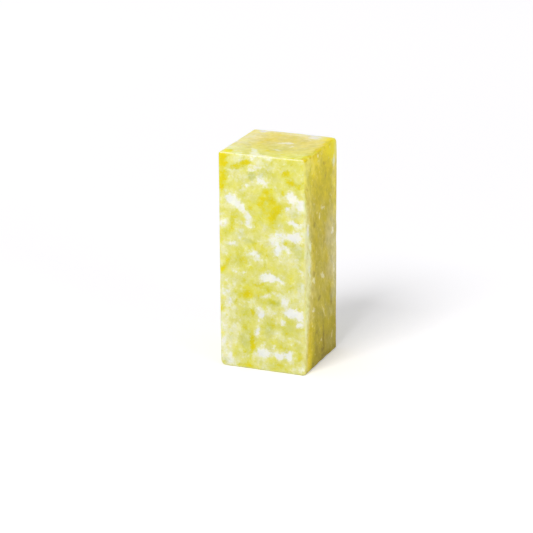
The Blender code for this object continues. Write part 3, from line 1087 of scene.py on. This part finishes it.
def stone_material():
    """The whole stone: each face that shows in its own colours, with gold at its edges and a painted
    highlight along its front edges.
    """
    material = bpy.data.materials.new("mottled_yellow_stone")
    graph = Graph(material)
    object_place = graph.add("ShaderNodeTexCoord").outputs["Object"]
    place = graph.vector("SCALE", object_place, scale=1 / MM)

    # Ragged edges: the patches are read through a warped place
    half = (0.5, 0.5, 0.5)
    broad = graph.vector("SUBTRACT", graph.noise(place, 0.32, 3.0, 0.6, colour=True), half)
    small = graph.vector("SUBTRACT", graph.noise(place, 1.2, 3.0, 0.6, colour=True), half)
    ragged = graph.vector("ADD", place, graph.vector("SCALE", broad, scale=1.4))
    ragged = graph.vector("ADD", ragged, graph.vector("SCALE", small, scale=1.8))

    split = graph.add("ShaderNodeSeparateXYZ")
    graph.put(split.inputs[0], place)
    x, y, z = split.outputs

    # Which of the faces that show a place is on
    front = graph.step(y, -12.4, -11.8, 1.0, 0.0)
    top = graph.math("MULTIPLY", graph.step(z, 60.65, 60.95), graph.math("SUBTRACT", 1.0, front))
    right = graph.math("MULTIPLY", graph.step(x, 11.7, 12.4), graph.math("SUBTRACT", 1.0, front))
    right = graph.math("MULTIPLY", right, graph.math("SUBTRACT", 1.0, top))
    away = graph.math("SUBTRACT", 1.0, added(graph, front, top, right))

    colour = front_colour(graph, place, ragged, away, x, z)
    colour = graph.mix(right, colour, side_colour(graph, place, ragged, z))
    colour = graph.mix(top, colour, top_colour(graph, place, ragged, y))

    dash = crisp(graph, patch_field(graph, place, "top", EDGE_GOLD_DASHES), 0.0)
    colour = graph.mix(graph.math("MULTIPLY", dash, graph.step(z, 60.1, 60.4)), colour, EDGE_GOLD)

    # Painted highlight: a pale line along the top front edge and, fainter, down the front right edge, where
    # the polished arrises catch the light
    painted_highlight = graph.math("MULTIPLY", graph.step(y, -12.35, -12.15, 1.0, 0.0), graph.step(z, 60.6, 60.8))
    upright_painted_highlight = graph.math("MULTIPLY", graph.step(y, -12.4, -12.1, 1.0, 0.0), graph.step(x, 12.05, 12.3))
    painted_highlight = graph.math("MAXIMUM", painted_highlight, graph.math("MULTIPLY", upright_painted_highlight, 0.6))
    painted_highlight = graph.math("MULTIPLY", painted_highlight, graph.step(graph.noise(place, 0.8, 3.0, 0.6), 0.35, 0.60, 0.08, 0.5))
    colour = graph.mix(painted_highlight, colour, PAINTED_HIGHLIGHT_COLOUR)

    grain = graph.noise(place, 3.0, 3.0, 0.6)
    shader = graph.add("ShaderNodeBsdfPrincipled")
    graph.put(shader.inputs["Base Color"], colour)
    rough = graph.math("MULTIPLY_ADD", graph.noise(place, 0.5, 5.0, 0.6), 0.16, 0.27)
    graph.put(shader.inputs["Roughness"], rough)
    shader.subsurface_method = "RANDOM_WALK"
    shader.inputs["Subsurface Weight"].default_value = 1.0
    shader.inputs["Subsurface Radius"].default_value = SUBSURFACE_RADIUS
    shader.inputs["Subsurface Scale"].default_value = MM
    shader.inputs["Subsurface Anisotropy"].default_value = 0.0
    shader.inputs["IOR"].default_value = REFRACTION
    shader.inputs["Specular IOR Level"].default_value = SPECULAR_LEVEL
    bump = graph.add("ShaderNodeBump")
    graph.put(bump.inputs["Strength"], GRAIN_BUMP_STRENGTH)
    graph.put(bump.inputs["Distance"], GRAIN_BUMP_HEIGHT)
    graph.put(bump.inputs["Height"], grain)
    graph.put(shader.inputs["Normal"], bump.outputs[0])
    output = graph.add("ShaderNodeOutputMaterial")
    graph.put(output.inputs["Surface"], shader.outputs[0])
    return material


def seen_directly(graph):
    """1 for rays from the camera, a mirror reflection or clear glass, and 0 for the rest."""
    path = graph.add("ShaderNodeLightPath")
    direct = graph.math("MAXIMUM", path.outputs["Is Camera Ray"], path.outputs["Is Glossy Ray"])
    return graph.math("MAXIMUM", direct, path.outputs["Is Transmission Ray"])


def floor_material():
    """Matt white paper, lifted a little where it is seen directly, and more away from the block."""
    material = bpy.data.materials.new("white_paper_floor")
    graph = Graph(material)
    matt = graph.add("ShaderNodeBsdfDiffuse")
    matt.inputs["Color"].default_value = FLOOR_COLOUR
    lift = graph.add("ShaderNodeEmission")
    lift.inputs["Color"].default_value = WHITE
    distance = graph.vector("LENGTH", graph.add("ShaderNodeTexCoord").outputs["Object"])
    level = graph.step(distance, *FAR_FLOOR, FLOOR_LIFT, FAR_FLOOR_LIFT)
    graph.put(lift.inputs["Strength"], graph.math("MULTIPLY", seen_directly(graph), level))
    both = graph.add("ShaderNodeAddShader")
    graph.put(both.inputs[0], matt.outputs[0])
    graph.put(both.inputs[1], lift.outputs[0])
    output = graph.add("ShaderNodeOutputMaterial")
    graph.put(output.inputs["Surface"], both.outputs[0])
    return material


# --- Stage, light and camera -------------------------------------------------------------------


def add_floor():
    mesh = bpy.data.meshes.new("floor")
    half = FLOOR_SIZE / 2
    corners = [(-half, -half, 0), (half, -half, 0), (half, half, 0), (-half, half, 0)]
    mesh.from_pydata(corners, [], [(0, 1, 2, 3)])
    mesh.materials.append(floor_material())
    floor = bpy.data.objects.new("floor", mesh)
    bpy.context.scene.collection.objects.link(floor)


def toward(azimuth, elevation):
    """The direction from the block to something at that azimuth, from -Y towards +X, and elevation."""
    level = math.cos(elevation)
    return Vector((math.sin(azimuth) * level, -math.cos(azimuth) * level, math.sin(elevation)))


def add_softbox(name, azimuth, elevation, distance, size, watts):
    lamp = bpy.data.lights.new(name, "AREA")
    lamp.shape = "SQUARE"
    lamp.size = size
    lamp.energy = watts
    softbox = bpy.data.objects.new(name, lamp)
    direction = toward(azimuth, elevation)
    softbox.location = Vector((0, 0, HEIGHT / 2)) + direction * distance
    softbox.rotation_euler = direction.to_track_quat("Z", "Y").to_euler()
    bpy.context.scene.collection.objects.link(softbox)


def add_world():
    """A plain sky, white where it is seen directly."""
    world = bpy.data.worlds.new("studio")
    bpy.context.scene.world = world
    graph = Graph(world)
    sky = graph.add("ShaderNodeBackground")
    sky.inputs["Color"].default_value = WHITE
    graph.put(sky.inputs["Strength"], graph.mix_value(seen_directly(graph), SKY_LEVEL, 1.0))
    output = graph.add("ShaderNodeOutputWorld")
    graph.put(output.inputs["Surface"], sky.outputs[0])


def add_camera():
    data = bpy.data.cameras.new("camera")
    data.sensor_width = SENSOR
    data.lens = FOCAL_PIXELS / PICTURE * SENSOR
    data.clip_start = 0.01
    data.clip_end = 20
    back = toward(CAMERA_AZIMUTH, CAMERA_ELEVATION)
    level_right = Vector((math.cos(CAMERA_AZIMUTH), math.sin(CAMERA_AZIMUTH), 0))
    level_up = back.cross(level_right)
    right = math.cos(CAMERA_ROLL) * level_right + math.sin(CAMERA_ROLL) * level_up
    up = back.cross(right)
    middle = Vector((0, 0, HEIGHT / 2))
    place = middle + back * CAMERA_DISTANCE + right * CAMERA_RIGHT + up * CAMERA_UP
    camera = bpy.data.objects.new("camera", data)
    turn = Matrix((right, up, back)).transposed()
    camera.matrix_world = Matrix.Translation(place) @ turn.to_4x4()
    bpy.context.scene.collection.objects.link(camera)
    bpy.context.scene.camera = camera


def main():
    bpy.context.scene.view_settings.view_transform = "Standard"
    stone = stone_piece()
    stone.data.materials.append(stone_material())
    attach(stone, "root")
    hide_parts("seal_stone")
    add_floor()
    add_softbox("key", KEY_AZIMUTH, KEY_ELEVATION, KEY_DISTANCE, KEY_SIZE, KEY_WATTS)
    add_softbox("fill", FILL_AZIMUTH, FILL_ELEVATION, FILL_DISTANCE, FILL_SIZE, FILL_WATTS)
    add_world()
    add_camera()


main()
